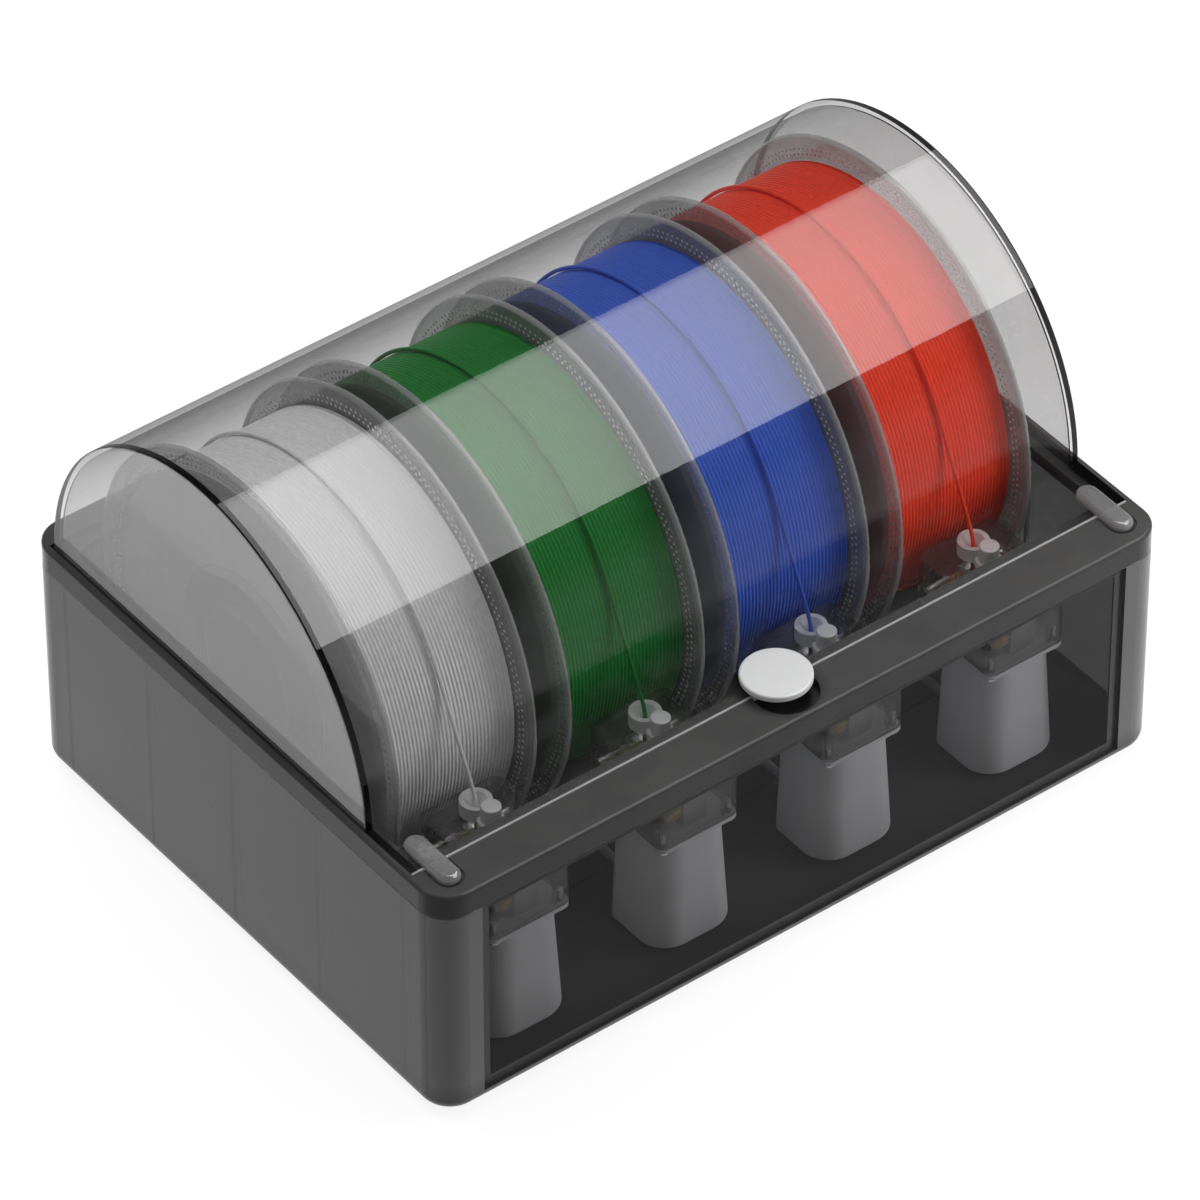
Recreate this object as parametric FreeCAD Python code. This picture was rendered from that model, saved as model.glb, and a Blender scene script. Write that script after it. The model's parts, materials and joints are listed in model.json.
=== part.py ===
import FreeCAD, Part
import math
import os

from FreeCAD import Vector

# Four-spool filament dry box with a clear hinged lid and one filament feeder per spool.
# Millimetres, +X right, +Y back, +Z up, origin at the bottom centre of the whole box.

# Overall size
width = 368.0
depth = 283.0
height = 224.0
rear_overhang = 5.0

# Tub and feet
foot_height = 3.0
foot_radius = 9.0
foot_inset = 30.0
tub_wall = 3.0
corner_radius = 14.0
bottom_fillet = 6.0
seam_height = 108.5
rib_count = 5
rib_pitch = 57.0
rib_width = 1.2
rib_depth = 1.5
rib_top_gap = 12.0
standoff_radius = 3.0
standoff_length = 3.0

# Dark panel let into the front wall
panel_side_margin = 21.0
panel_bottom = 9.2
panel_thickness = 2.0
panel_lip = 4.0
panel_gap = 0.3

# Rim frame round the mouth
rim_height = 11.5
seat_drop = 3.0
rim_plate = 2.0
rim_edge_fillet = 1.5
seam_fillet = 0.6
side_band = 10.0
ledge_overlap = 8.0
rear_opening_gap = 1.0
opening_corner = 8.0
tongue_height = 4.0
tongue_wall = 2.0
tongue_gap = 0.15
seat_gap = 0.3
scoop_radius = 14.0
scoop_depth = 3.5
scoop_forward = 5.0

# Lid
lid_radius = 106.0
lid_wall = 2.5
lid_inset = 3.0
lid_axis_from_front = 158.0
lid_edge_fillet = 1.0
arch_skirt = 0.5
flange_front_from_front = 21.5
flange_thickness = 2.5
flange_fillet = 0.6
rear_flange = 2.0
seal_width = 2.0
seal_height = 1.2
seal_proud = 0.2
seal_gap = 0.3
pull_radius = 15.0
pull_thickness = 3.0
pull_neck_radius = 6.0
pull_neck_height = 2.5
pull_overhang = 13.9
pull_edge_fillet = 0.8
clip_length = 31.0
clip_width = 10.0
clip_height = 3.0
clip_fillet = 2.2
clip_inset = 13.6
clip_overhang = 14.0
clip_pocket_gap = 1.5
clip_pocket_depth = 1.0

# Lid hinge
hinge_offset = 120.0
hinge_from_back = 7.0
hinge_rise = 2.0
knuckle_radius = 4.5
knuckle_half = 6.0
knuckle_gap = 0.3
pin_radius = 2.0
running_gap = 0.05
hinge_pocket_gap = 0.5

# Lanes and spools
lane_count = 4
lane_side_margin = 15.0
spool_radius = 100.0
spool_width = 70.0
flange_wall = 3.0
flange_edge_fillet = 1.2
spool_drop = 2.0
barrel_radius = 47.0
barrel_wall = 2.5
bore_radius = 27.0
bore_wall = 2.0
web_thickness = 3.0
web_hole_count = 8
web_hole_radius = 4.5

# Filament
filament_diameter = 1.75
winding_radius = 89.2
winding_side_gap = 0.4
core_gap = 0.15
loop_count = 24
samples_per_turn = 24
turn_sides = 8
strand_gap = 0.35
strand_wrap = 300.0
strand_bend = 20.0

# Rollers and their cradle
roller_radius = 10.0
roller_width = 8.5
roller_angle = 40.0
roller_gap = 0.3
roller_fillet = 1.0
shaft_radius = 3.0
cradle_plate = 2.5
cradle_side_gap = 7.0
cradle_margin = 14.0
post_thickness = 5.0
post_radius = 9.0
shaft_depth = 1.5
shaft_end_gap = 0.2

# Feeders
feeder_half_width = 20.0
feeder_front_from_front = 16.5
feeder_depth = 49.0
feeder_drop = 15.0
feeder_height = 33.0
feeder_wall = 2.0
feeder_corner = 4.0
boss_radius = 3.2
boss_height = 8.0
hanger_radius = 3.5
hanger_offset = 13.0
hanger_from_front = 6.0
path_from_front = 52.9
path_hole_radius = 3.0
inlet_radius = 6.75
inlet_height = 6.5
inlet_bore = 1.7
inlet_mouth = 4.6
inlet_boss_radius = 5.6
inlet_boss_height = 3.0
button_radius = 4.25
button_forward = 9.9
button_rise = 10.4
button_root = 0.2
button_fillet = 0.7

# Feeder gears
gear_module = 1.0
drive_teeth = 20
motor_teeth = 14
gear_width = 4.5
gear_left = 9.5
gear_backlash = 0.1
tooth_root_share = 0.5
tooth_tip_share = 0.2
tooth_addendum = 0.85
tooth_dedendum = 1.15
hob_radius = 7.0
hob_teeth = 30
hob_depth = 0.5
hob_half_width = 4.0
nip_drop = 14.0
nip_gap = 0.3
motor_gear_drop = 9.0
gear_shaft_radius = 1.5
idler_radius = 4.0
idler_half_width = 3.5
idler_fillet = 0.6

# Gear motors and their covers
cover_half_width_bottom = 21.0
cover_half_width_top = 18.5
cover_front_from_front = 18.2
cover_back_from_front = 47.5
cover_bottom = 9.0
cover_wall = 2.0
cover_flange = 2.0
motor_radius = 11.0
motor_front_gap = 4.8
motor_hole_gap = 0.3
gearbox_left = 4.0
gearbox_right = 8.0
gearbox_rise = 17.0
gearbox_half_depth = 7.5
screw_radius = 1.4
screw_gap = 0.1
screw_head_radius = 2.5
screw_head_height = 1.6
screw_length = 8.0

# Tubes, outlet and electronics
tube_radius = 2.0
tube_bore = 1.2
tube_rise = 7.0
tube_floor_gap = 0.2
tube_drop_bend = 20.0
tube_side_bend = 15.0
tube_outer_row_gap = 9.0
tube_row_pitch = 7.0
tube_insert = 6.0
tube_fit = 0.05
hub_half_width = 20.0
hub_depth = 19.0
hub_height = 30.0
hub_wall_gap = 5.0
outlet_above_floor = 21.0
outlet_radius = 5.0
outlet_collar_radius = 6.5
outlet_collar = 1.5
outlet_bore = 2.05
outlet_bore_depth = 8.5
board_width = 80.0
board_height = 38.0
board_thickness = 1.6
board_bottom = 42.0
board_from_centre = 65.0
board_boss_inset = 4.0
chip_size = 11.0
chip_height = 2.0
chip_pitch = 20.0
socket_count = 2
socket_pitch = 24.0
socket_width = 14.0
socket_height = 8.0
socket_wall = 1.5
socket_depth = 4.6

# How closely edges are matched when they are picked for rounding
tolerance = 1e-6

# Places worked out from the sizes above
half_width = width / 2
tub_front = -depth / 2
tub_back = depth / 2 - rear_overhang
tub_middle = (tub_front + tub_back) / 2
floor_top = foot_height + tub_wall
panel_width = width - 2 * panel_side_margin
inner_front = tub_front + tub_wall
inner_back = tub_back - tub_wall
rim_top = seam_height + rim_height
seat = rim_top - seat_drop
rim_under = seat - rim_plate
lid_bottom = seat + seal_proud + seal_gap
lid_side = half_width - lid_inset
lid_y = tub_front + lid_axis_from_front
lid_z = height - lid_radius
arch_bottom = max(lid_bottom, lid_z - arch_skirt)
lid_front = tub_front + flange_front_from_front
lid_back = lid_y + lid_radius
flange_top = lid_bottom + flange_thickness
opening_front = lid_front + ledge_overlap
opening_back = lid_back - lid_wall - rear_opening_gap
hinge_y = lid_back + hinge_from_back
hinge_z = rim_top + hinge_rise
lane_pitch = (width - 2 * lane_side_margin) / lane_count
spool_y = lid_y
spool_z = lid_z - spool_drop
roller_reach = spool_radius + roller_gap + roller_radius
roller_dy = roller_reach * math.sin(math.radians(roller_angle))
roller_z = spool_z - roller_reach * math.cos(math.radians(roller_angle))
front_roller_y = spool_y - roller_dy
rear_roller_y = spool_y + roller_dy
winding_half = spool_width / 2 - flange_wall - winding_side_gap
turn_radius = winding_radius - filament_diameter / 2
core_radius = turn_radius - filament_diameter / 2 - core_gap
strand_radius = winding_radius + strand_gap + filament_diameter / 2
feeder_front = tub_front + feeder_front_from_front
feeder_back = feeder_front + feeder_depth
feeder_top = rim_under - feeder_drop
feeder_bottom = feeder_top - feeder_height
path_y = tub_front + path_from_front
inlet_top = feeder_top + inlet_height
button_y = path_y - button_forward
nip_height = feeder_top - nip_drop
drive_y = path_y - filament_diameter / 2 - nip_gap - hob_radius
idler_y = path_y + filament_diameter / 2 + nip_gap + idler_radius
drive_pitch = gear_module * drive_teeth / 2
motor_pitch = gear_module * motor_teeth / 2
gear_distance = drive_pitch + motor_pitch + gear_backlash
motor_gear_z = nip_height - motor_gear_drop
motor_gear_y = drive_y - math.sqrt(gear_distance ** 2 - motor_gear_drop ** 2)
cover_front = tub_front + cover_front_from_front
cover_back = tub_front + cover_back_from_front
cover_top = feeder_bottom - cover_flange
gearbox_top = feeder_bottom + gearbox_rise
motor_y = cover_front + motor_front_gap + motor_radius
tube_top = feeder_bottom + tube_rise
tube_floor_z = floor_top + cradle_plate + tube_floor_gap + tube_radius
hub_back = inner_back - hub_wall_gap
hub_front = hub_back - hub_depth
outlet_z = floor_top + outlet_above_floor
board_front = inner_back - standoff_length - board_thickness
lanes = [lane_pitch * (index - (lane_count - 1) / 2) for index in range(lane_count)]
boundaries = [lane_pitch * (index - lane_count / 2) for index in range(lane_count + 1)]


def box(x0, x1, y0, y1, z0, z1):
    return Part.makeBox(x1 - x0, y1 - y0, z1 - z0, Vector(x0, y0, z0))


def rod_x(radius, x0, x1, y, z):
    return Part.makeCylinder(radius, x1 - x0, Vector(x0, y, z), Vector(1, 0, 0))


def rod_y(radius, x, y0, y1, z):
    return Part.makeCylinder(radius, y1 - y0, Vector(x, y0, z), Vector(0, 1, 0))


def rod_z(radius, x, y, z0, z1):
    return Part.makeCylinder(radius, z1 - z0, Vector(x, y, z0))


def ring_x(outer, inner, x0, x1, y, z):
    return rod_x(outer, x0, x1, y, z).cut(rod_x(inner, x0, x1, y, z))


def slab(x0, x1, y0, y1, z0, z1, radius):
    """A block whose four upright edges are rounded."""
    block = box(x0, x1, y0, y1, z0, z1)
    upright = [edge for edge in block.Edges if abs(edge.tangentAt(edge.FirstParameter).z) > 0.5]
    return block.makeFillet(radius, upright)


def pill(x, y, length, breadth, z0, z1):
    """A capsule plate lying along Y."""
    half = (length - breadth) / 2
    plate = box(x - breadth / 2, x + breadth / 2, y - half, y + half, z0, z1)
    for end in (y - half, y + half):
        plate = plate.fuse(rod_z(breadth / 2, x, end, z0, z1))
    return plate.removeSplitter()


def fuse(shapes):
    return shapes[0].multiFuse(shapes[1:]).removeSplitter() if len(shapes) > 1 else shapes[0]


def edges_at(shape, z):
    """Edges that lie wholly at height z."""
    level = [edge for edge in shape.Edges if abs(edge.CenterOfMass.z - z) < tolerance]
    return [edge for edge in level if max(abs(vertex.Z - z) for vertex in edge.Vertexes) < tolerance]


def round_edges(shape, radius):
    """Edges that are full circles or arcs of this radius."""
    arcs = [edge for edge in shape.Edges if isinstance(edge.Curve, Part.Circle)]
    return [edge for edge in arcs if abs(edge.Curve.Radius - radius) < tolerance]


def pipe(edges, radius):
    """One round tube along joined edges, starting square to the first one."""
    start = edges[0].valueAt(edges[0].FirstParameter)
    along = edges[0].tangentAt(edges[0].FirstParameter)
    section = Part.Wire(Part.makeCircle(radius, start, along))
    return Part.Wire(edges).makePipeShell([section], True, False)


def faceted_pipe(edges, radius, sides):
    """One many-sided tube along joined edges, starting square to the first one."""
    start = edges[0].valueAt(edges[0].FirstParameter)
    along = edges[0].tangentAt(edges[0].FirstParameter)
    across = along.cross(Vector(1, 0, 0)).normalize()
    other = along.cross(across)
    corners = []
    for index in range(sides):
        angle = 2 * math.pi * (index + 0.5) / sides
        corners.append(start + (across * math.cos(angle) + other * math.sin(angle)) * radius)
    section = Part.makePolygon(corners + corners[:1])
    return Part.Wire(edges).makePipeShell([section], True, False)


def line(start, end):
    return Part.LineSegment(start, end).toShape()


def arc(start, middle, end):
    return Part.Arc(start, middle, end).toShape()


def corner_arc(before, corner, after, radius):
    """Tangent arc of this radius at a corner of a route, as (start, arc edge, end)."""
    inward = (before - corner).normalize()
    outward = (after - corner).normalize()
    half = inward.getAngle(outward) / 2
    reach = radius / math.tan(half)
    centre = corner + (inward + outward).normalize() * (radius / math.sin(half))
    middle = centre + (corner - centre).normalize() * radius
    start = corner + inward * reach
    end = corner + outward * reach
    return start, arc(start, middle, end), end


def export(name, shape):
    shape.exportStep("parts/%s.step" % name)


def make_tub():
    outer = slab(-half_width, half_width, tub_front, tub_back, foot_height, seam_height, corner_radius)
    outer = outer.makeFillet(bottom_fillet, edges_at(outer, foot_height))
    inner_x = half_width - tub_wall
    inner = slab(-inner_x, inner_x, inner_front, inner_back, floor_top, seam_height,
                 corner_radius - tub_wall)
    inner = inner.makeFillet(bottom_fillet - tub_wall / 2, edges_at(inner, floor_top))
    outer = outer.makeFillet(seam_fillet, edges_at(outer, seam_height))
    tub = outer.cut(inner)
    half_panel = panel_width / 2
    rebate = box(-half_panel - panel_gap, half_panel + panel_gap, tub_front, tub_front + panel_thickness,
                 panel_bottom - panel_gap, seam_height)
    window = box(-half_panel + panel_lip, half_panel - panel_lip, tub_front, inner_front,
                 panel_bottom + panel_lip, seam_height - panel_lip)
    tub = tub.cut(rebate).cut(window)
    ribs = []
    for index in range(rib_count):
        y = tub_middle + rib_pitch * (index - (rib_count - 1) / 2)
        for x in (-inner_x, inner_x - rib_depth):
            ribs.append(box(x, x + rib_depth, y - rib_width / 2, y + rib_width / 2,
                            floor_top + bottom_fillet, seam_height - rib_top_gap))
    bosses = []
    for x, z in board_corners():
        bosses.append(rod_y(standoff_radius, x, inner_back - standoff_length, inner_back, z))
    tub = tub.multiFuse(ribs + bosses)
    holes = [rod_y(outlet_radius + tube_fit, 0, inner_back, tub_back, outlet_z)]
    half_x = socket_width / 2 + panel_gap
    half_z = socket_height / 2 + panel_gap
    for x in socket_places():
        holes.append(box(x - half_x, x + half_x, inner_back, tub_back,
                         socket_middle() - half_z, socket_middle() + half_z))
    return tub.cut(holes).removeSplitter()


def make_panel():
    half_panel = panel_width / 2
    return box(-half_panel, half_panel, tub_front, tub_front + panel_thickness, panel_bottom, seam_height)


def make_feet():
    feet = []
    for x in (-half_width + foot_inset, half_width - foot_inset):
        for y in (tub_front + foot_inset, tub_back - foot_inset):
            feet.append(rod_z(foot_radius, x, y, 0, foot_height))
    return Part.makeCompound(feet)


def clip_places():
    y = lid_front - clip_overhang + clip_length / 2
    return [(-half_width + clip_inset, y), (half_width - clip_inset, y)]


def hinge_places():
    return (-hinge_offset, hinge_offset)


def make_rim():
    rim = slab(-half_width, half_width, tub_front, tub_back, seam_height, rim_top, corner_radius)
    rim = rim.makeFillet(rim_edge_fillet, edges_at(rim, rim_top))
    rim = rim.makeFillet(seam_fillet, edges_at(rim, seam_height))
    inner_x = half_width - tub_wall
    under = slab(-inner_x, inner_x, inner_front, inner_back, seam_height, rim_under,
                 corner_radius - tub_wall)
    rim = rim.cut(under)
    tongue_outer = tub_wall + tongue_gap
    tongue_inner = tongue_outer + tongue_wall
    tongue_bottom = seam_height - tongue_height
    tongue = slab(-half_width + tongue_outer, half_width - tongue_outer, tub_front + tongue_outer,
                  tub_back - tongue_outer, tongue_bottom, rim_under, corner_radius - tongue_outer)
    hollow = slab(-half_width + tongue_inner, half_width - tongue_inner, tub_front + tongue_inner,
                  tub_back - tongue_inner, tongue_bottom, rim_under, corner_radius - tongue_inner)
    hangers = []
    for lane in lanes:
        for side in (-hanger_offset, hanger_offset):
            hangers.append(rod_z(hanger_radius, lane + side, feeder_front + hanger_from_front,
                                 feeder_top, rim_under))
    rim = rim.multiFuse([tongue.cut(hollow)] + hangers)
    opening_x = half_width - side_band
    opening = slab(-opening_x, opening_x, opening_front, opening_back, seam_height, rim_top, opening_corner)
    seat_cut = box(-lid_side - seat_gap, lid_side + seat_gap, lid_front - seat_gap,
                   lid_back + rear_flange + seat_gap, seat, rim_top)
    groove = seal_ring(seat + seal_proud - seal_height, seat)
    scoop = rod_z(scoop_radius, 0, lid_front - scoop_forward, rim_top - scoop_depth, rim_top)
    rim = rim.cut([opening, seat_cut, groove, scoop])
    for x, y in clip_places():
        gap = 2 * clip_pocket_gap
        rim = rim.cut(pill(x, y, clip_length + gap, clip_width + gap, rim_top - clip_pocket_depth, rim_top))
    for x in hinge_places():
        rim = rim.fuse(make_rim_knuckles(x)).cut(hinge_pocket(x))
    return rim.cut([rod_x(pin_radius, x - hinge_reach(), x + hinge_reach(), hinge_y, hinge_z)
                    for x in hinge_places()]).removeSplitter()


def hinge_reach():
    return 2 * knuckle_half + knuckle_gap


def make_rim_knuckles(x):
    pieces = []
    for x0 in (x - hinge_reach(), x + knuckle_half + knuckle_gap):
        x1 = x0 + knuckle_half
        pieces.append(rod_x(knuckle_radius, x0, x1, hinge_y, hinge_z))
        pieces.append(box(x0, x1, hinge_y - pin_radius, hinge_y + knuckle_radius, seat, hinge_z))
    return fuse(pieces)


def hinge_pocket(x):
    half = knuckle_half + knuckle_gap
    reach = knuckle_radius + hinge_pocket_gap
    return box(x - half, x + half, hinge_y - reach, hinge_y + reach, hinge_z - reach, hinge_z + reach)


def seal_ring(z0, z1):
    """Square-cornered gasket loop under the edge of the lid."""
    outer_x = lid_side - seal_gap
    front = lid_front + seal_gap
    back = lid_back - seal_gap
    outer = box(-outer_x, outer_x, front, back, z0, z1)
    inner_x = outer_x - seal_width
    return outer.cut(box(-inner_x, inner_x, front + seal_width, back - seal_width, z0, z1))


def make_lid_legs():
    """Straight walls under the arch of a lid that stands higher than its half round."""
    outer_y = math.sqrt(lid_radius ** 2 - arch_skirt ** 2)
    inner_y = math.sqrt((lid_radius - lid_wall) ** 2 - arch_skirt ** 2)
    inner_x = lid_side - lid_wall
    outer = box(-lid_side, lid_side, lid_y - outer_y, lid_y + outer_y, lid_bottom, arch_bottom)
    return outer.cut(box(-inner_x, inner_x, lid_y - inner_y, lid_y + inner_y, lid_bottom, arch_bottom))


def make_lid():
    outer = rod_x(lid_radius, -lid_side, lid_side, lid_y, lid_z)
    outer = outer.makeFillet(lid_edge_fillet, round_edges(outer, lid_radius))
    inner = rod_x(lid_radius - lid_wall, -lid_side + lid_wall, lid_side - lid_wall, lid_y, lid_z)
    dome = outer.cut(inner)
    below = box(-half_width, half_width, tub_front, depth, lid_z - lid_radius, arch_bottom)
    dome = dome.cut(below)
    if arch_bottom - lid_bottom > tolerance:
        dome = dome.fuse(make_lid_legs())
    front = box(-lid_side, lid_side, lid_front, lid_y - lid_radius + lid_wall, lid_bottom, flange_top)
    nose = [edge for edge in edges_at(front, flange_top) if abs(edge.CenterOfMass.y - lid_front) < tolerance]
    front = front.makeFillet(flange_fillet, nose)
    back = box(-lid_side, lid_side, lid_back - lid_wall, lid_back + rear_flange, lid_bottom, flange_top)
    lid = dome.fuse(front).fuse(back)
    for x in hinge_places():
        arm = box(x - knuckle_half, x + knuckle_half, lid_back - lid_wall / 2, hinge_y,
                  lid_bottom, hinge_z + pin_radius)
        knuckle = rod_x(knuckle_radius, x - knuckle_half, x + knuckle_half, hinge_y, hinge_z)
        lid = lid.fuse(arm).fuse(knuckle)
    bores = [rod_x(pin_radius + running_gap, x - knuckle_half, x + knuckle_half, hinge_y, hinge_z)
             for x in hinge_places()]
    return lid.cut(bores).removeSplitter()


def make_pull():
    y = lid_front - pull_overhang + pull_radius
    disc_bottom = flange_top + pull_neck_height
    disc = rod_z(pull_radius, 0, y, disc_bottom, disc_bottom + pull_thickness)
    disc = disc.makeFillet(pull_edge_fillet, round_edges(disc, pull_radius))
    neck = rod_z(pull_neck_radius, 0, lid_front + pull_neck_radius, flange_top, disc_bottom)
    return disc.fuse(neck).removeSplitter()


def make_clips():
    clips = []
    for x, y in clip_places():
        clip_top = flange_top + clip_height
        clip = pill(x, y, clip_length, clip_width, flange_top, clip_top)
        clips.append(clip.makeFillet(clip_fillet, edges_at(clip, clip_top)))
    return Part.makeCompound(clips)


def make_pins():
    reach = hinge_reach()
    return Part.makeCompound([rod_x(pin_radius, x - reach, x + reach, hinge_y, hinge_z)
                              for x in hinge_places()])


def make_spool(lane):
    left = lane - spool_width / 2
    right = lane + spool_width / 2
    pieces = []
    for x0 in (left, right - flange_wall):
        flange = rod_x(spool_radius, x0, x0 + flange_wall, spool_y, spool_z)
        pieces.append(flange.makeFillet(flange_edge_fillet, round_edges(flange, spool_radius)))
    pieces.append(rod_x(barrel_radius, left, right, spool_y, spool_z))
    body = fuse(pieces)
    hollow = ring_x(barrel_radius - barrel_wall, bore_radius + bore_wall, left, right, spool_y, spool_z)
    web = rod_x(barrel_radius, lane - web_thickness / 2, lane + web_thickness / 2, spool_y, spool_z)
    body = body.cut(hollow.cut(web)).cut(rod_x(bore_radius, left, right, spool_y, spool_z))
    hole_ring = (bore_radius + bore_wall + barrel_radius - barrel_wall) / 2
    holes = []
    for index in range(web_hole_count):
        angle = 2 * math.pi * index / web_hole_count
        holes.append(rod_x(web_hole_radius, lane - web_thickness, lane + web_thickness,
                           spool_y + hole_ring * math.cos(angle), spool_z + hole_ring * math.sin(angle)))
    return body.cut(holes)


def make_core(lane):
    return ring_x(core_radius, barrel_radius + core_gap, lane - winding_half, lane + winding_half,
                  spool_y, spool_z)


def helix_point(angle, pitch):
    """Point and direction on the outer layer of turns of a winding centred on lane zero."""
    x = pitch * (angle / (2 * math.pi) - loop_count / 2)
    point = Vector(x, spool_y - turn_radius * math.sin(angle), spool_z + turn_radius * math.cos(angle))
    along = Vector(pitch / (2 * math.pi), -turn_radius * math.cos(angle), -turn_radius * math.sin(angle))
    return point, along.normalize()


def biarc(start, start_along, end, end_along):
    """Two tangent arcs from one point and direction to another, with equal tangent lengths."""
    chord = end - start
    both = start_along + end_along
    a = 2 * (1 - start_along.dot(end_along))
    b = 2 * chord.dot(both)
    reach = (-b + math.sqrt(b * b + 4 * a * chord.dot(chord))) / (2 * a)
    first = start + start_along * reach
    second = end - end_along * reach
    joint = (first + second) * 0.5
    along = (second - first).normalize()
    return [tangent_arc(start, start_along, joint), tangent_arc(joint, along, end)]


def tangent_arc(start, along, end):
    """Arc that leaves start in the direction along and reaches end."""
    chord = end - start
    across = chord - along * chord.dot(along)
    across.normalize()
    radius = chord.dot(chord) / (2 * chord.dot(across))
    centre = start + across * radius
    middle = centre + ((start + end) * 0.5 - centre).normalize() * radius
    return arc(start, middle, end)


def make_turns():
    """Outer layer of one winding as a single tube on half-turn biarcs, centred on lane zero."""
    pitch = (2 * winding_half - filament_diameter) / loop_count
    stations = [helix_point(math.pi * step, pitch) for step in range(2 * loop_count + 1)]
    edges = [line(stations[0][0] - stations[0][1] * filament_diameter, stations[0][0])]
    for (start, start_along), (end, end_along) in zip(stations, stations[1:]):
        edges.extend(biarc(start, start_along, end, end_along))
    edges.append(line(stations[-1][0], stations[-1][0] + stations[-1][1] * filament_diameter))
    points = [helix_point(2 * math.pi * step / samples_per_turn, pitch)[0]
              for step in range(samples_per_turn * loop_count + 1)]
    least = min(points[i].distanceToPoint(points[j]) for i in range(len(points))
                for j in range(i + samples_per_turn // 2, min(i + 3 * samples_per_turn // 2, len(points))))
    print("winding: %d loops, least gap to itself %.2f mm" % (loop_count, least - filament_diameter))
    return faceted_pipe(edges, filament_diameter / 2, turn_sides)


def drum_point(lane, angle):
    """Point on the last turn of a winding, by its angle from the top."""
    return Vector(lane, spool_y - strand_radius * math.sin(angle),
                  spool_z + strand_radius * math.cos(angle))


def make_strand(lane):
    """Last turn over the winding, then the straight run into the inlet and down to the tube."""
    corner = Vector(lane, path_y, inlet_top)
    reach = math.hypot(corner.y - spool_y, corner.z - spool_z)
    towards = math.atan2(spool_y - corner.y, corner.z - spool_z)
    leave = towards - math.acos(strand_radius / reach)
    begin = leave - math.radians(strand_wrap)
    foot = Vector(lane, path_y, tube_top - tube_radius)
    start, bend, end = corner_arc(drum_point(lane, leave), corner, foot, strand_bend)
    edges = [arc(drum_point(lane, begin), drum_point(lane, (begin + leave) / 2), drum_point(lane, leave))]
    edges += [line(drum_point(lane, leave), start), bend, line(end, foot)]
    return pipe(edges, filament_diameter / 2)


def make_roller(lane, y):
    reach = lane_pitch / 2 - post_thickness / 2 + shaft_depth
    pieces = [rod_x(shaft_radius, lane - reach, lane + reach, y, roller_z)]
    flange_middle = spool_width / 2 - flange_wall / 2
    for x in (lane - flange_middle, lane + flange_middle):
        wheel = rod_x(roller_radius, x - roller_width / 2, x + roller_width / 2, y, roller_z)
        pieces.append(wheel.makeFillet(roller_fillet, round_edges(wheel, roller_radius)))
    return fuse(pieces)


def make_cradle():
    side = half_width - tub_wall - cradle_side_gap
    plate_top = floor_top + cradle_plate
    pieces = [box(-side, side, front_roller_y - cradle_margin, rear_roller_y + cradle_margin,
                  floor_top, plate_top)]
    for y in (front_roller_y, rear_roller_y):
        for x in boundaries:
            x0 = x - post_thickness / 2
            x1 = x + post_thickness / 2
            pieces.append(box(x0, x1, y - post_radius, y + post_radius, plate_top, roller_z))
            pieces.append(rod_x(post_radius, x0, x1, y, roller_z))
    cradle = fuse(pieces)
    reach = lane_pitch / 2 - post_thickness / 2 + shaft_depth + shaft_end_gap
    bores = []
    for y in (front_roller_y, rear_roller_y):
        for lane in lanes:
            bores.append(rod_x(shaft_radius + running_gap, lane - reach, lane + reach, y, roller_z))
    return cradle.cut(bores)


def feeder_corners(lane):
    inset = feeder_wall + boss_radius / 2
    return [(lane + side * (feeder_half_width - inset), y)
            for side in (-1, 1) for y in (feeder_front + inset, feeder_back - inset)]


def make_feeder_body(lane):
    left = lane - feeder_half_width
    right = lane + feeder_half_width
    body = slab(left, right, feeder_front, feeder_back, feeder_bottom, feeder_top, feeder_corner)
    inside = slab(left + feeder_wall, right - feeder_wall, feeder_front + feeder_wall,
                  feeder_back - feeder_wall, feeder_bottom, feeder_top - feeder_wall,
                  feeder_corner - feeder_wall)
    bosses = [rod_z(boss_radius, x, y, feeder_bottom, feeder_bottom + boss_height)
              for x, y in feeder_corners(lane)]
    body = body.cut(inside).multiFuse(bosses)
    cuts = [rod_z(screw_radius + screw_gap, x, y, feeder_bottom, feeder_bottom + boss_height)
            for x, y in feeder_corners(lane)]
    cuts.append(rod_z(path_hole_radius, lane, path_y, feeder_top - feeder_wall, feeder_top))
    cuts.append(rod_z(button_radius + running_gap, lane, button_y, feeder_top - feeder_wall, feeder_top))
    cuts.append(rod_x(gear_shaft_radius + running_gap, left, right, drive_y, nip_height))
    cuts.append(rod_x(gear_shaft_radius + running_gap, left, right, idler_y, nip_height))
    return body.cut(cuts).removeSplitter()


def make_inlet(lane):
    ring = rod_z(inlet_radius, lane, path_y, feeder_top, inlet_top)
    boss = rod_z(inlet_boss_radius, lane, button_y, feeder_top, feeder_top + inlet_boss_height)
    funnel = Part.makeCone(inlet_bore, inlet_mouth, inlet_height - feeder_wall,
                           Vector(lane, path_y, feeder_top + feeder_wall))
    bore = rod_z(inlet_bore, lane, path_y, feeder_top, inlet_top)
    guide = rod_z(button_radius + running_gap, lane, button_y, feeder_top, inlet_top)
    return ring.fuse(boss).cut([funnel, bore, guide]).removeSplitter()


def make_button(lane):
    top = feeder_top + button_rise
    button = rod_z(button_radius, lane, button_y, feeder_top - button_root, top)
    return button.makeFillet(button_fillet, edges_at(button, top))


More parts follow.
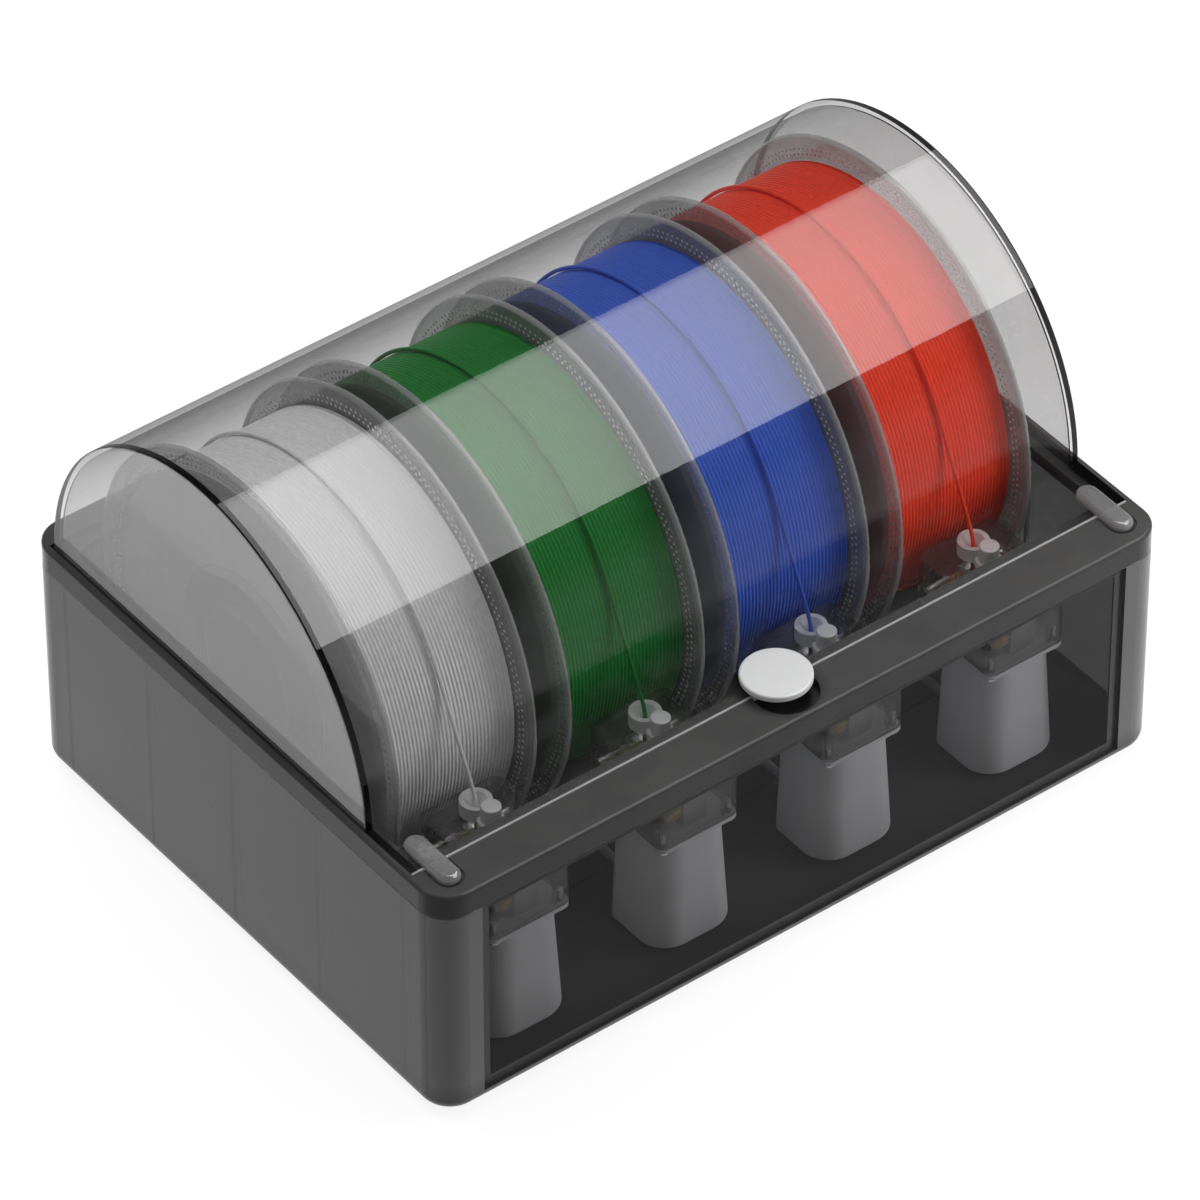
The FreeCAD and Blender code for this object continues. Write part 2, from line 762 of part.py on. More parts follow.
def toothed_wheel(teeth, tip, root, x0, x1, y, z, first_angle):
    """Wheel on the X axis with straight-sided teeth, one of them centred on first_angle."""
    pitch = 2 * math.pi / teeth
    corners = []
    for index in range(teeth):
        middle = first_angle + index * pitch
        for radius, share in ((root, -tooth_root_share), (tip, -tooth_tip_share),
                              (tip, tooth_tip_share), (root, tooth_root_share)):
            angle = middle + share * pitch / 2
            corners.append(Vector(x0, y + radius * math.cos(angle), z + radius * math.sin(angle)))
    outline = Part.makePolygon(corners + corners[:1])
    return Part.Face(outline).extrude(Vector(x1 - x0, 0, 0))


def make_drive_gear(lane):
    towards_motor = math.atan2(motor_gear_z - nip_height, motor_gear_y - drive_y)
    left = lane - gear_left
    wheel = toothed_wheel(drive_teeth, drive_pitch + tooth_addendum * gear_module,
                          drive_pitch - tooth_dedendum * gear_module, left, left + gear_width,
                          drive_y, nip_height, towards_motor)
    hob = toothed_wheel(hob_teeth, hob_radius, hob_radius - hob_depth, lane - hob_half_width,
                        lane + hob_half_width, drive_y, nip_height, 0)
    shaft = rod_x(gear_shaft_radius, lane - feeder_half_width, lane + feeder_half_width,
                  drive_y, nip_height)
    return fuse([wheel, hob, shaft])


def make_motor_gear(lane):
    away = math.atan2(motor_gear_z - nip_height, motor_gear_y - drive_y)
    half_tooth = math.pi / motor_teeth
    left = lane - gear_left
    wheel = toothed_wheel(motor_teeth, motor_pitch + tooth_addendum * gear_module,
                          motor_pitch - tooth_dedendum * gear_module, left, left + gear_width,
                          motor_gear_y, motor_gear_z, away + math.pi + half_tooth)
    shaft = rod_x(gear_shaft_radius, left, lane + gearbox_right, motor_gear_y, motor_gear_z)
    return wheel.fuse(shaft).removeSplitter()


def make_idler(lane):
    wheel = rod_x(idler_radius, lane - idler_half_width, lane + idler_half_width, idler_y, nip_height)
    wheel = wheel.makeFillet(idler_fillet, round_edges(wheel, idler_radius))
    pin = rod_x(gear_shaft_radius, lane - feeder_half_width, lane + feeder_half_width,
                idler_y, nip_height)
    return wheel.fuse(pin).removeSplitter()


def cover_outline(lane, half, front, back, z):
    """D-shaped outline with a half-round front and a flat back."""
    shoulder = front + half
    left = Vector(lane - half, shoulder, z)
    right = Vector(lane + half, shoulder, z)
    back_left = Vector(lane - half, back, z)
    back_right = Vector(lane + half, back, z)
    nose = arc(left, Vector(lane, front, z), right)
    return Part.Wire([nose, line(right, back_right), line(back_right, back_left), line(back_left, left)])


def make_cover(lane):
    taper = cover_half_width_bottom - cover_half_width_top
    bottom = cover_outline(lane, cover_half_width_bottom, cover_front, cover_back, cover_bottom)
    top = cover_outline(lane, cover_half_width_top, cover_front + taper, cover_back, cover_top)
    cup = Part.makeLoft([bottom, top], True, True)
    inner_bottom = cover_outline(lane, cover_half_width_bottom - cover_wall, cover_front + cover_wall,
                                 cover_back - cover_wall, cover_bottom + cover_wall)
    inner_top = cover_outline(lane, cover_half_width_top - cover_wall, cover_front + taper + cover_wall,
                              cover_back - cover_wall, cover_top)
    cup = cup.cut(Part.makeLoft([inner_bottom, inner_top], True, True))
    plate = slab(lane - feeder_half_width, lane + feeder_half_width, feeder_front, feeder_back,
                 cover_top, feeder_bottom, feeder_corner)
    cuts = [rod_z(motor_radius + motor_hole_gap, lane, motor_y, cover_top, feeder_bottom)]
    cuts.append(rod_z(tube_radius + tube_fit, lane, path_y, cover_top, feeder_bottom))
    for x, y in feeder_corners(lane):
        cuts.append(rod_z(screw_radius + screw_gap, x, y, cover_top, feeder_bottom))
    return cup.fuse(plate.cut(cuts)).removeSplitter()


def make_motor(lane):
    can = rod_z(motor_radius, lane, motor_y, cover_bottom + cover_wall, feeder_bottom)
    gearbox = box(lane - gearbox_left, lane + gearbox_right, motor_gear_y - gearbox_half_depth,
                  motor_gear_y + gearbox_half_depth, feeder_bottom, gearbox_top)
    bore = rod_x(gear_shaft_radius + running_gap, lane - gearbox_left, lane + gearbox_right,
                 motor_gear_y, motor_gear_z)
    return can.fuse(gearbox).cut(bore).removeSplitter()


def make_screws():
    screws = []
    for lane in lanes:
        for x, y in feeder_corners(lane):
            head = rod_z(screw_head_radius, x, y, cover_top - screw_head_height, cover_top)
            shank = rod_z(screw_radius, x, y, cover_top, cover_top + screw_length)
            screws.append(head.fuse(shank))
    return Part.makeCompound(screws)


def tube_row(lane):
    """Distance of a tube's cross run in front of the rear wall: outer lanes lie in the rear row."""
    outer = abs(lane) > lane_pitch
    return inner_back - tube_outer_row_gap - (0 if outer else tube_row_pitch)


def make_tube(lane):
    side = 1 if lane > 0 else -1
    top = Vector(lane, path_y, tube_top)
    turn_down = Vector(lane, path_y, tube_floor_z)
    turn_side = Vector(lane, tube_row(lane), tube_floor_z)
    foot = Vector(side * (hub_half_width - tube_insert), tube_row(lane), tube_floor_z)
    first_start, first_bend, first_end = corner_arc(top, turn_down, turn_side, tube_drop_bend)
    second_start, second_bend, second_end = corner_arc(turn_down, turn_side, foot, tube_side_bend)
    route = [line(top, first_start), first_bend, line(first_end, second_start), second_bend]
    route.append(line(second_end, foot))
    return pipe(route, tube_radius).cut(pipe(route, tube_bore))


def make_hub():
    hub = box(-hub_half_width, hub_half_width, hub_front, hub_back, floor_top, floor_top + hub_height)
    cuts = []
    for lane in lanes:
        side = 1 if lane > 0 else -1
        near = side * (hub_half_width - tube_insert)
        far = side * hub_half_width
        cuts.append(rod_x(tube_radius + tube_fit, min(near, far), max(near, far),
                          tube_row(lane), tube_floor_z))
        cuts.append(rod_x(tube_bore, min(0, near), max(0, near), tube_row(lane), tube_floor_z))
    gallery_front = tube_row(lanes[1])
    cuts.append(rod_z(tube_bore, 0, gallery_front, tube_floor_z, outlet_z))
    cuts.append(rod_y(tube_bore, 0, gallery_front, hub_back, outlet_z))
    cuts.append(rod_y(tube_bore, 0, gallery_front, tube_row(lanes[0]), tube_floor_z))
    return hub.cut(cuts)


def make_outlet():
    body = rod_y(outlet_radius, 0, hub_back, depth / 2, outlet_z)
    collar = rod_y(outlet_collar_radius, 0, tub_back, tub_back + outlet_collar, outlet_z)
    socket = rod_y(outlet_bore, 0, depth / 2 - outlet_bore_depth, depth / 2, outlet_z)
    way = rod_y(tube_bore, 0, hub_back, depth / 2, outlet_z)
    return body.fuse(collar).cut([socket, way]).removeSplitter()


def board_corners():
    half_x = board_width / 2 - board_boss_inset
    half_z = board_height / 2 - board_boss_inset
    middle_z = board_bottom + board_height / 2
    return [(-board_from_centre + sx * half_x, middle_z + sz * half_z) for sx in (-1, 1) for sz in (-1, 1)]


def make_board():
    left = -board_from_centre - board_width / 2
    board = box(left, left + board_width, board_front, board_front + board_thickness,
                board_bottom, board_bottom + board_height)
    chips = []
    for index in (-1, 0, 1):
        x = -board_from_centre + index * chip_pitch
        z = board_bottom + board_height / 2
        chips.append(box(x - chip_size / 2, x + chip_size / 2, board_front - chip_height, board_front,
                         z - chip_size / 2, z + chip_size / 2))
    return board.multiFuse(chips).removeSplitter()


def socket_places():
    return [-board_from_centre + socket_pitch * (index - (socket_count - 1) / 2)
            for index in range(socket_count)]


def socket_middle():
    return board_bottom + board_height / 2


def make_sockets():
    sockets = []
    z = socket_middle()
    for x in socket_places():
        shell = box(x - socket_width / 2, x + socket_width / 2, board_front + board_thickness, tub_back,
                    z - socket_height / 2, z + socket_height / 2)
        mouth = box(x - socket_width / 2 + socket_wall, x + socket_width / 2 - socket_wall,
                    tub_back - socket_depth, tub_back, z - socket_height / 2 + socket_wall,
                    z + socket_height / 2 - socket_wall)
        sockets.append(shell.cut(mouth))
    return Part.makeCompound(sockets)


def main():
    os.makedirs("parts", exist_ok=True)
    export("base_tub", make_tub())
    export("front_panel", make_panel())
    export("rubber_feet", make_feet())
    export("rim_frame", make_rim())
    export("lid_seal", seal_ring(seat + seal_proud - seal_height, seat + seal_proud))
    export("lid_shell", make_lid())
    export("lid_pull", make_pull())
    export("corner_clips", make_clips())
    export("hinge_pins", make_pins())
    export("roller_cradle", make_cradle())
    export("feeder_bodies", Part.makeCompound([make_feeder_body(lane) for lane in lanes]))
    export("filament_inlets", Part.makeCompound([make_inlet(lane) for lane in lanes]))
    export("motor_covers", Part.makeCompound([make_cover(lane) for lane in lanes]))
    export("gear_motors", Part.makeCompound([make_motor(lane) for lane in lanes]))
    export("feeder_screws", make_screws())
    export("guide_tubes", Part.makeCompound([make_tube(lane) for lane in lanes]))
    export("filament_hub", make_hub())
    export("outlet_coupler", make_outlet())
    export("control_board", make_board())
    export("rear_sockets", make_sockets())
    turns = make_turns()
    for number, lane in enumerate(lanes, 1):
        export("spool_%d" % number, make_spool(lane))
        export("winding_core_%d" % number, make_core(lane))
        export("winding_turns_%d" % number, turns.translated(Vector(lane, 0, 0)))
        export("filament_strand_%d" % number, make_strand(lane))
        export("front_roller_%d" % number, make_roller(lane, front_roller_y))
        export("rear_roller_%d" % number, make_roller(lane, rear_roller_y))
        export("drive_gear_%d" % number, make_drive_gear(lane))
        export("motor_gear_%d" % number, make_motor_gear(lane))
        export("idler_%d" % number, make_idler(lane))
        export("release_button_%d" % number, make_button(lane))


main()
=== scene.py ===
import json
import math

import bmesh
import bpy
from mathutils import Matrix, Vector


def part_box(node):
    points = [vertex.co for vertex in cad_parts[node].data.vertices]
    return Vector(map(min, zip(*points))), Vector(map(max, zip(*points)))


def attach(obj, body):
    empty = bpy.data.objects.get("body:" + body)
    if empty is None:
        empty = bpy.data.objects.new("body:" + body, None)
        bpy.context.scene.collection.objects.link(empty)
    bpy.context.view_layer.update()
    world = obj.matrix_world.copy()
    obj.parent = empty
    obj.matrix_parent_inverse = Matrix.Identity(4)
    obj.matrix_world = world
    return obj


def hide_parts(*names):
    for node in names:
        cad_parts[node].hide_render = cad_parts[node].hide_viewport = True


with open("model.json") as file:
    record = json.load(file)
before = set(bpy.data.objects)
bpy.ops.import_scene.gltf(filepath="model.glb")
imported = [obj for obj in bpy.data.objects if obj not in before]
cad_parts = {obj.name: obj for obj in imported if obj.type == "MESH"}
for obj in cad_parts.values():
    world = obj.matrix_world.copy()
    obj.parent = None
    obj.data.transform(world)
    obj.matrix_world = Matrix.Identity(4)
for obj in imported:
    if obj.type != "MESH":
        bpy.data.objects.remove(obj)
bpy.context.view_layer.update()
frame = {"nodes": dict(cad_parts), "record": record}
nodes = frame["nodes"]

# Looks of a four-spool filament dry box with a clear half-round lid. Metres, +X right, +Y back, +Z up.

# Camera
view_azimuth = math.radians(-37.62)
view_elevation = math.radians(41.68)
view_distance = 3.735
view_aim = Vector((-0.0198, -0.0300, 0.1120))
sensor_width = 36.0
lens = 278.29

# Studio
lamp_height = 1.6
band_first_tilt = math.radians(4.8)
band_last_tilt = math.radians(44.6)
band_margin = 0.25
band_radiance = 9.2
key_radiance = 1.74
key_size = 2.6
key_right = 0.30
key_back = 0.95
side_place = Vector((0.58, -0.54, 0.34))
side_aim = Vector((0.12, -0.12, 0.08))
side_size = 0.4
side_radiance = 6.6
world_fill = 0.34
ceiling_start = math.radians(8)
ceiling_end = math.radians(25)
ceiling_share = 0.08
floor_size = 12.0
floor_drop = 0.0002
floor_albedo = 0.25
floor_glow = 0.86

# Edges that turn more than this stay sharp
sharp_angle = math.radians(50)

# Windings and strands
lanes = (1, 2, 3, 4)
filament_radius = 0.875e-3
turn_pitch = 1.79e-3
turn_depth = 0.28e-3
steps_per_turn = 96
tube_sides = 8
barrel_radius = 47.15e-3
strand_wrap = math.radians(300)
strand_wrap_steps = 100
strand_bend = 20.0e-3
strand_bend_steps = 6
strand_run_steps = 4
strand_foot_drop = 28.0e-3

# Dots moulded on the flanges of the spools, finished white as painted glints
flange_thickness = 3.0e-3
dot_rows = (91.6e-3, 94.0e-3)
dots_per_row = 180
dot_radius = 0.7e-3
dot_height = 0.35e-3
dot_sides = 6

# Noise in the materials: its scales per metre, the depths of its grain and the middle of its range
cloud_scale = 18
smear_scale = 25
haze_scale = 40
mottle_scale = 60
gloss_scale = 140
thread_scale = 900
grain_scale = 2600
grain_depth = 0.02e-3
thread_grain_scale = 3200
thread_grain_depth = 0.03e-3
noise_low = 0.3
noise_high = 0.7

# Clear lid: painted shade in dark strips at the ends of its dome where the eye looks into the end plates'
# edges, a painted highlight along its front edge, milky end plates with painted light towards the top
dome_radius = 106.0e-3
edge_shade_strip = 3.2e-3
nose_highlight_strip = 1.0e-3
lid_tint = 0.89
lid_tint_edge_on = 0.29
lid_tint_power = 3.0
lid_tint_for_shadows = 0.96
lid_tint_in_shade_strips = 0.03
lid_milk = 0.85
dome_haze = 0.003
end_haze_painted_low = 0.05
end_haze_painted_high = 0.22
end_mottle = 0.1
nose_highlight_haze = 0.38
dome_mirror = 0.012
dome_mirror_edge_on = 0.2
end_mirror = 0.07
end_lean = 0.9
strip_lean = 0.75

# Smoke-grey tub: painted light, lighter at the back and low down, painted shade in a strip along the foot
# and on its inner faces, a dark line over each rib
tub_colour = (0.118, 0.118, 0.120)
painted_light_front = 0.75
painted_light_back = 1.55
painted_light_low = 1.2
painted_light_high = 0.9
painted_shade_inside = 0.55
tub_mottle = 0.05
tub_tint = 0.75
tub_mirror = 0.02
tub_mirror_edge_on = 0.55
tub_mirror_power = 3.5
tub_roughness = 0.14
wall_lean = 0.95
wall_cover = 0.72
rib_pitch = 57.0e-3
rib_line = 1.5e-3
rib_shade = 0.45
foot_shade_strip = 14.0e-3
painted_foot_shade_low = 0.5
painted_foot_shade_high = 1.7

# Rim frame, with a painted shadow in the finger scoop under the pull, whose edges are given in radii of
# the pull
rim_colour = (0.066, 0.065, 0.064)
rim_mottle = 0.06
rim_tint = 0.6
rim_cover = 0.95
rim_mirror = 0.008
rim_roughness = 0.22
pull_shadow_forward = 4.0e-3
pull_shadow_start = 0.75
pull_shadow_end = 1.3
pull_shadow_darkness = 0.3

# Clear spools, hazier where a flange stands above the winding, with a painted highlight on the flange rim
flange_highlight_width = 1.3e-3
spool_tint = 0.79
spool_milk = 0.52
spool_haze = (0.16, 0.19)
flange_haze = (0.30, 0.34)
flange_rim_highlight = 0.46
spool_mirror = 0.03
spool_roughness = 0.05

# Filament
filament_roughness = 0.42
filament_gloss = 0.08
filament_mottle = 0.08
filament_stretch = (1, 0.35, 0.35)

# Covers of the gear motors
cover_top_half = 18.5e-3
cover_depth = 33.5e-3
cover_front_corner = 13.0e-3
cover_back_corner = 4.0e-3
cover_edge = 2.0e-3
corner_steps = 8
plate_half = 20.0e-3
plate_height = 2.0e-3
plate_corner = 4.0e-3

# Clear surfaces that one ray may pass
clear_bounces = 48

# Places read from the frame
lid_low, lid_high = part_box("lid_shell")
spool_low, spool_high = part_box("spool_1")
turns_low, turns_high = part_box("winding_turns_1")
strand_low, strand_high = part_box("filament_strand_1")
inlet_low, inlet_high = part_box("filament_inlets")
tub_low, tub_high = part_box("base_tub")
pull_low, pull_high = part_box("lid_pull")
tub_middle = (tub_low + tub_high) / 2
pull_middle = (pull_low + pull_high) / 2
pull_radius = (pull_high.x - pull_low.x) / 2
spool_half = (spool_high.x - spool_low.x) / 2
spool_radius = (spool_high.z - spool_low.z) / 2
axis_y = (spool_low.y + spool_high.y) / 2
axis_z = (spool_low.z + spool_high.z) / 2
winding_radius = (turns_high.z - turns_low.z) / 2
winding_half = (turns_high.x - turns_low.x) / 2
lane_x = {}
for number in lanes:
    low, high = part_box("spool_%d" % number)
    lane_x[number] = (low.x + high.x) / 2
sight = Vector((-math.sin(view_azimuth) * math.cos(view_elevation),
                math.cos(view_azimuth) * math.cos(view_elevation), -math.sin(view_elevation)))


def new_material(name):
    """A node material with nothing in it, and its tree."""
    made = bpy.data.materials.new(name)
    made.use_nodes = True
    made.node_tree.nodes.clear()
    return made, made.node_tree


def feed(tree, socket, value):
    """An input takes the output of another node, or a plain number or colour."""
    if isinstance(value, bpy.types.NodeSocket):
        tree.links.new(value, socket)
    else:
        socket.default_value = value


def add(tree, kind, **values):
    """A node whose inputs are fed by name."""
    node = tree.nodes.new(kind)
    for name, value in values.items():
        feed(tree, node.inputs[name.replace("_", " ")], value)
    return node


def math_node(tree, operation, *values):
    """What a math node makes of its values, in order."""
    node = tree.nodes.new("ShaderNodeMath")
    node.operation = operation
    for socket, value in zip(node.inputs, values):
        feed(tree, socket, value)
    return node.outputs[0]


def grey(shade):
    """An opaque grey."""
    return (shade, shade, shade, 1)


def place_of(tree):
    """X, Y and Z of a point, in the object's own space."""
    place = tree.nodes.new("ShaderNodeTexCoord").outputs["Object"]
    return add(tree, "ShaderNodeSeparateXYZ", Vector=place).outputs


def normal_of(tree):
    """X, Y and Z of the way that a face looks."""
    normal = tree.nodes.new("ShaderNodeNewGeometry").outputs["True Normal"]
    return add(tree, "ShaderNodeSeparateXYZ", Vector=normal).outputs


def ranged(tree, value, start, end, first, last):
    """First where the value is at or below start, last at or above end, and in proportion between."""
    node = add(tree, "ShaderNodeMapRange", Value=value, From_Min=start, From_Max=end,
               To_Min=first, To_Max=last)
    return node.outputs["Result"]


def spread(tree, scale, low, high, detail=3.0, stretch=(1, 1, 1)):
    """Noise in the object's own space, spread from low to high."""
    place = tree.nodes.new("ShaderNodeTexCoord").outputs["Object"]
    stretched = add(tree, "ShaderNodeMapping", Vector=place, Scale=stretch).outputs["Vector"]
    noise = add(tree, "ShaderNodeTexNoise", Vector=stretched, Scale=scale, Detail=detail)
    return ranged(tree, noise.outputs["Fac"], noise_low, noise_high, low, high)


def uneven(tree, scale, value, share=0.15, **noise):
    """A value that noise takes up and down by a share of itself."""
    return spread(tree, scale, value * (1 - share), value * (1 + share), **noise)


def tinted(tree, colour, factor):
    """A colour multiplied by a socket's value."""
    mixed = tree.nodes.new("ShaderNodeVectorMath")
    mixed.operation = "SCALE"
    mixed.inputs[0].default_value = colour
    tree.links.new(factor, mixed.inputs["Scale"])
    return mixed.outputs["Vector"]


def bump(tree, height, depth):
    """A normal that rises and falls with a height of the given depth."""
    return add(tree, "ShaderNodeBump", Strength=1.0, Distance=depth, Height=height).outputs["Normal"]


def close(tree, shader):
    """The shader becomes the surface of the material."""
    add(tree, "ShaderNodeOutputMaterial", Surface=shader)


def moulded(name, colour, roughness, mottle=0.08, metallic=0.0):
    """An opaque moulded, cast or turned surface with grain and a little unevenness in its colour."""
    made, tree = new_material(name)
    mottled = tinted(tree, colour, uneven(tree, mottle_scale, 1, mottle))
    gloss = uneven(tree, gloss_scale, roughness)
    grain = bump(tree, spread(tree, grain_scale, 0, 1), grain_depth)
    shader = add(tree, "ShaderNodeBsdfPrincipled", Base_Color=mottled, Metallic=metallic,
                 Roughness=gloss, Normal=grain)
    close(tree, shader.outputs["BSDF"])
    return made


def by_angle(tree, head_on, edge_on=1.0, power=5.0):
    """A value by the angle of view, such as the share of light that a clear surface mirrors."""
    facing = add(tree, "ShaderNodeLayerWeight", Blend=0.5).outputs["Facing"]
    grazing = math_node(tree, "POWER", facing, power)
    return math_node(tree, "MULTIPLY_ADD", grazing, edge_on - head_on, head_on)


def blend_values(tree, share, first, second):
    """First where share is zero, second where it is one."""
    return add(tree, "ShaderNodeMix", Factor=share, A=first, B=second).outputs["Result"]


def layered(tree, share, under, over):
    """A shader under another that takes a share of the surface."""
    mixed = add(tree, "ShaderNodeMixShader", Fac=share)
    tree.links.new(under, mixed.inputs[1])
    tree.links.new(over, mixed.inputs[2])
    return mixed.outputs["Shader"]


def see_through(tree, tint, milk_colour, haze, mirror, roughness=0.015):
    """Clear plastic: what is behind it with a tint, a share of milky haze, and a mirror coat."""
    clear = add(tree, "ShaderNodeBsdfTransparent", Color=tint)
    milk = add(tree, "ShaderNodeBsdfDiffuse", Color=milk_colour)
    coat = add(tree, "ShaderNodeBsdfGlossy", Color=grey(1), Roughness=roughness)
    body = layered(tree, haze, clear.outputs["BSDF"], milk.outputs["BSDF"])
    return layered(tree, mirror, body, coat.outputs["BSDF"])


def clear_plastic(name, tint, milk, haze, mirror, roughness, mirror_edge_on=1.0):
    """Clear plastic that is nearly the same all over."""
    made, tree = new_material(name)
    cloud = uneven(tree, haze_scale, haze)
    coat = by_angle(tree, mirror, mirror_edge_on)
    close(tree, see_through(tree, grey(tint), (*milk, 1), cloud, coat, roughness))
    return made


def lid_tints(tree, end, edge_shade):
    """Colour that the lid lets through: less at a slant through the dome, almost none in the painted
    shade strips at its ends.
    """
    dome = by_angle(tree, lid_tint, lid_tint_edge_on, lid_tint_power)
    sheet = blend_values(tree, end, dome, lid_tint)
    shadow = tree.nodes.new("ShaderNodeLightPath").outputs["Is Shadow Ray"]
    lit = blend_values(tree, shadow, sheet, lid_tint_for_shadows)
    tint = blend_values(tree, edge_shade, lit, lid_tint_in_shade_strips)
    return add(tree, "ShaderNodeCombineColor", Red=tint, Green=tint, Blue=tint).outputs["Color"]


def lid_plastic():
    """Smoke-tinted clear sheet, hazy on its end plates with painted light towards the top, painted shade
    where the eye looks into their edges, a painted highlight along its front edge.
    """
    made, tree = new_material("clear_lid")
    place = place_of(tree)
    beside = math_node(tree, "ABSOLUTE", place["X"])
    sideways = math_node(tree, "ABSOLUTE", normal_of(tree)["X"])
    end = math_node(tree, "GREATER_THAN", sideways, end_lean)
    # Painted shade: near the dome's ends, on faces that don't look along X, the lid lets almost nothing
    # through, where the eye looks into the end plates' edges.
    beyond = math_node(tree, "GREATER_THAN", beside, lid_high.x - edge_shade_strip)
    edge_shade = math_node(tree, "MULTIPLY", beyond, math_node(tree, "LESS_THAN", sideways, strip_lean))
    # Painted light: the end plates' milky haze grows towards the top, so they look lighter there.
    painted_light_by_height = ranged(tree, place["Z"], lid_low.z, lid_high.z, end_haze_painted_low, end_haze_painted_high)
    milky = math_node(tree, "MULTIPLY", painted_light_by_height, uneven(tree, smear_scale, 1, end_mottle))
    # Painted highlight: a line of light haze along the lid's front edge.
    nose_highlight = math_node(tree, "LESS_THAN", place["Y"], lid_low.y + nose_highlight_strip)
    haze = blend_values(tree, nose_highlight, blend_values(tree, end, dome_haze, milky), nose_highlight_haze)
    dome_coat = by_angle(tree, dome_mirror, dome_mirror_edge_on)
    mirror = blend_values(tree, end, dome_coat, by_angle(tree, end_mirror))
    close(tree, see_through(tree, lid_tints(tree, end, edge_shade), grey(lid_milk), haze, mirror))
    return made


def outer_side(tree, place, normal):
    """One on faces of the tub that look away from its middle, zero on those that look inward."""
    total = 0.0
    for axis, middle in zip("XYZ", tub_middle):
        arm = math_node(tree, "SUBTRACT", place[axis], middle)
        total = math_node(tree, "MULTIPLY_ADD", arm, normal[axis], total)
    return math_node(tree, "GREATER_THAN", total, 0)


def rib_lines(tree, place):
    """Dark over each rib of the side walls and one between them."""
    along = math_node(tree, "ADD", place["Y"], rib_pitch / 2 - tub_middle.y)
    repeat = math_node(tree, "WRAP", along, rib_pitch, 0.0)
    off = math_node(tree, "ABSOLUTE", math_node(tree, "SUBTRACT", repeat, rib_pitch / 2))
    return ranged(tree, off, rib_line / 4, rib_line, rib_shade, 1.0)


def tub_plastic():
    """Smoke plastic with painted light, lighter low down and at the back, painted shade along the foot
    and on the inner faces, no mirror inside, and a dark line over each rib.
    """
    made, tree = new_material("smoke_plastic")
    place = place_of(tree)
    normal = normal_of(tree)
    outside = outer_side(tree, place, normal)
    wall = math_node(tree, "GREATER_THAN", math_node(tree, "ABSOLUTE", normal["X"]), wall_lean)
    # Painted shade: outer faces darker in a strip along the foot and lighter above it, inner faces darker
    # all over.
    foot_top = tub_low.z + foot_shade_strip
    foot = ranged(tree, place["Z"], tub_low.z, foot_top, painted_foot_shade_low, painted_foot_shade_high)
    plain = blend_values(tree, outside, painted_shade_inside, foot)
    lined = blend_values(tree, wall, plain, rib_lines(tree, place))
    # Painted light: the tub's colour is lighter towards the back and low down.
    painted_light_by_depth = ranged(tree, place["Y"], tub_low.y, tub_high.y, painted_light_front, painted_light_back)
    painted_light_by_height = ranged(tree, place["Z"], tub_low.z, tub_high.z, painted_light_low, painted_light_high)
    shade = math_node(tree, "MULTIPLY", painted_light_by_depth, painted_light_by_height)
    mottled = math_node(tree, "MULTIPLY", shade, uneven(tree, cloud_scale, 1, tub_mottle))
    milk = tinted(tree, tub_colour, math_node(tree, "MULTIPLY", mottled, lined))
    coat = by_angle(tree, tub_mirror, tub_mirror_edge_on, tub_mirror_power)
    mirror = math_node(tree, "MULTIPLY", outside, coat)
    cover = blend_values(tree, wall, 1.0, wall_cover)
    close(tree, see_through(tree, grey(tub_tint), milk, cover, mirror, tub_roughness))
    return made


def rim_plastic():
    """Smoke plastic of the rim frame, with a painted shadow in the finger scoop under the pull."""
    made, tree = new_material("smoke_rim")
    place = place_of(tree)
    # Painted shadow: the rim is darker in a round patch under and just in front of the pull.
    forward = math_node(tree, "SUBTRACT", place["Y"], pull_middle.y - pull_shadow_forward)
    beside = math_node(tree, "MULTIPLY", place["X"], place["X"])
    away = math_node(tree, "SQRT", math_node(tree, "MULTIPLY_ADD", forward, forward, beside))
    scoop = ranged(tree, away, pull_radius * pull_shadow_start, pull_radius * pull_shadow_end, pull_shadow_darkness, 1.0)
    shade = math_node(tree, "MULTIPLY", scoop, uneven(tree, cloud_scale, 1, rim_mottle))
    milk = tinted(tree, rim_colour, shade)
    cover = uneven(tree, haze_scale, rim_cover)
    mirror = by_angle(tree, rim_mirror)
    close(tree, see_through(tree, grey(rim_tint), milk, cover, mirror, rim_roughness))
    return made


def spool_plastic():
    """Clear plastic, hazier where a flange stands above the winding, with a painted highlight of milky
    haze on its rim.
    """
    made, tree = new_material("clear_spool")
    place = place_of(tree)
    back = math_node(tree, "SUBTRACT", place["Y"], axis_y)
    up = math_node(tree, "SUBTRACT", place["Z"], axis_z)
    squared = math_node(tree, "MULTIPLY_ADD", back, back, math_node(tree, "MULTIPLY", up, up))
    # Painted highlight: more milky haze in a ring at the flanges' rim.
    rim = math_node(tree, "GREATER_THAN", squared, (spool_radius - flange_highlight_width) ** 2)
    above = math_node(tree, "GREATER_THAN", squared, winding_radius ** 2)
    low_haze = spread(tree, haze_scale, *spool_haze)
    body = blend_values(tree, above, low_haze, spread(tree, haze_scale, *flange_haze))
    haze = blend_values(tree, rim, body, flange_rim_highlight)
    mirror = by_angle(tree, spool_mirror)
    close(tree, see_through(tree, grey(spool_tint), grey(spool_milk), haze, mirror, spool_roughness))
    return made


def filament(name, colour):
    """Satin plastic thread with slow changes of shade along the winding."""
    made, tree = new_material(name)
    shade = uneven(tree, thread_scale, 1, filament_mottle, detail=2.0, stretch=filament_stretch)
    mottled = tinted(tree, colour, shade)
    grain = bump(tree, spread(tree, thread_grain_scale, 0, 1), thread_grain_depth)
    shader = add(tree, "ShaderNodeBsdfPrincipled", Base_Color=mottled, Roughness=filament_roughness,
                 Specular_IOR_Level=filament_gloss, Normal=grain)
    close(tree, shader.outputs["BSDF"])
    return made


